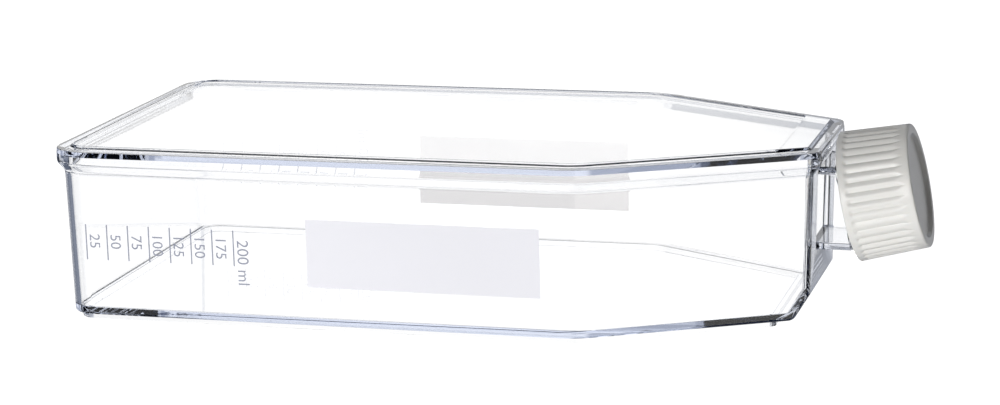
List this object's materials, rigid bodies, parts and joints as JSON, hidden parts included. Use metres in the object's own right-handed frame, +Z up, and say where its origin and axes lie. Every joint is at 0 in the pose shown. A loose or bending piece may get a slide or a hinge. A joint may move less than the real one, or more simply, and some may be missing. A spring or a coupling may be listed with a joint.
{
  "type": "cell culture flask",
  "caption": "Clear rectangular culture flask with tapered shoulder, stacking rim, canted neck and ribbed screw cap, lying on its growth surface",
  "frame": {"origin": "centre of the footprint at the underside of the foot, where the flask rests", "axes": "+Z up from the growth surface, +X along the flask towards the neck, +Y across the flask"},
  "size_m": [0.2234, 0.1092, 0.0493],
  "materials": {
    "clear_tub": "injection moulded clear polystyrene, polished",
    "clear_plate": "injection moulded clear polystyrene, polished",
    "ivory_cap": "injection moulded high-density polyethylene, satin"
  },
  "bodies": {
    "flask": {"flask_body": "clear_tub", "top_plate": "clear_plate"},
    "cap": {"screw_cap": "ivory_cap"}
  },
  "joints": [
    {"name": "cap_turn", "type": "hinge", "parent": "flask", "child": "cap", "pos_m": [0.09042, 0, 0.0298], "axis": [0.9799, 0, 0.1994], "range_deg": [0, 450]}
  ]
}
